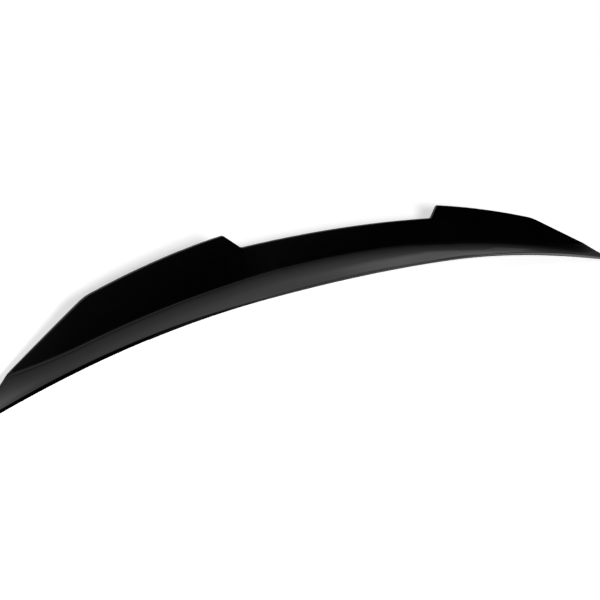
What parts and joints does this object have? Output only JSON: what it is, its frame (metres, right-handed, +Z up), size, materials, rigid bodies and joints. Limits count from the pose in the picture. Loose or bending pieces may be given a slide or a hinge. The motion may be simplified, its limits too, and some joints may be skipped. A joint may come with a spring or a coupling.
{
  "type": "car rear spoiler",
  "caption": "Boot-lid spoiler: a thin black skin that sweeps up from a low leading edge to a high rear lip with a wide stepped notch, with pointed ends and a hollow, ribbed underside.",
  "frame": {"origin": "middle of the leading edge, at the bonding face that lies on the boot lid", "axes": "+X across the car, +Y to the rear, +Z up"},
  "size_m": [1.2418, 0.1542, 0.1163],
  "materials": {
    "gloss_black": "black moulded plastic, polished gloss on the show face and plainer underneath"
  },
  "bodies": {
    "root": {"spoiler": "gloss_black"}
  },
  "joints": []
}
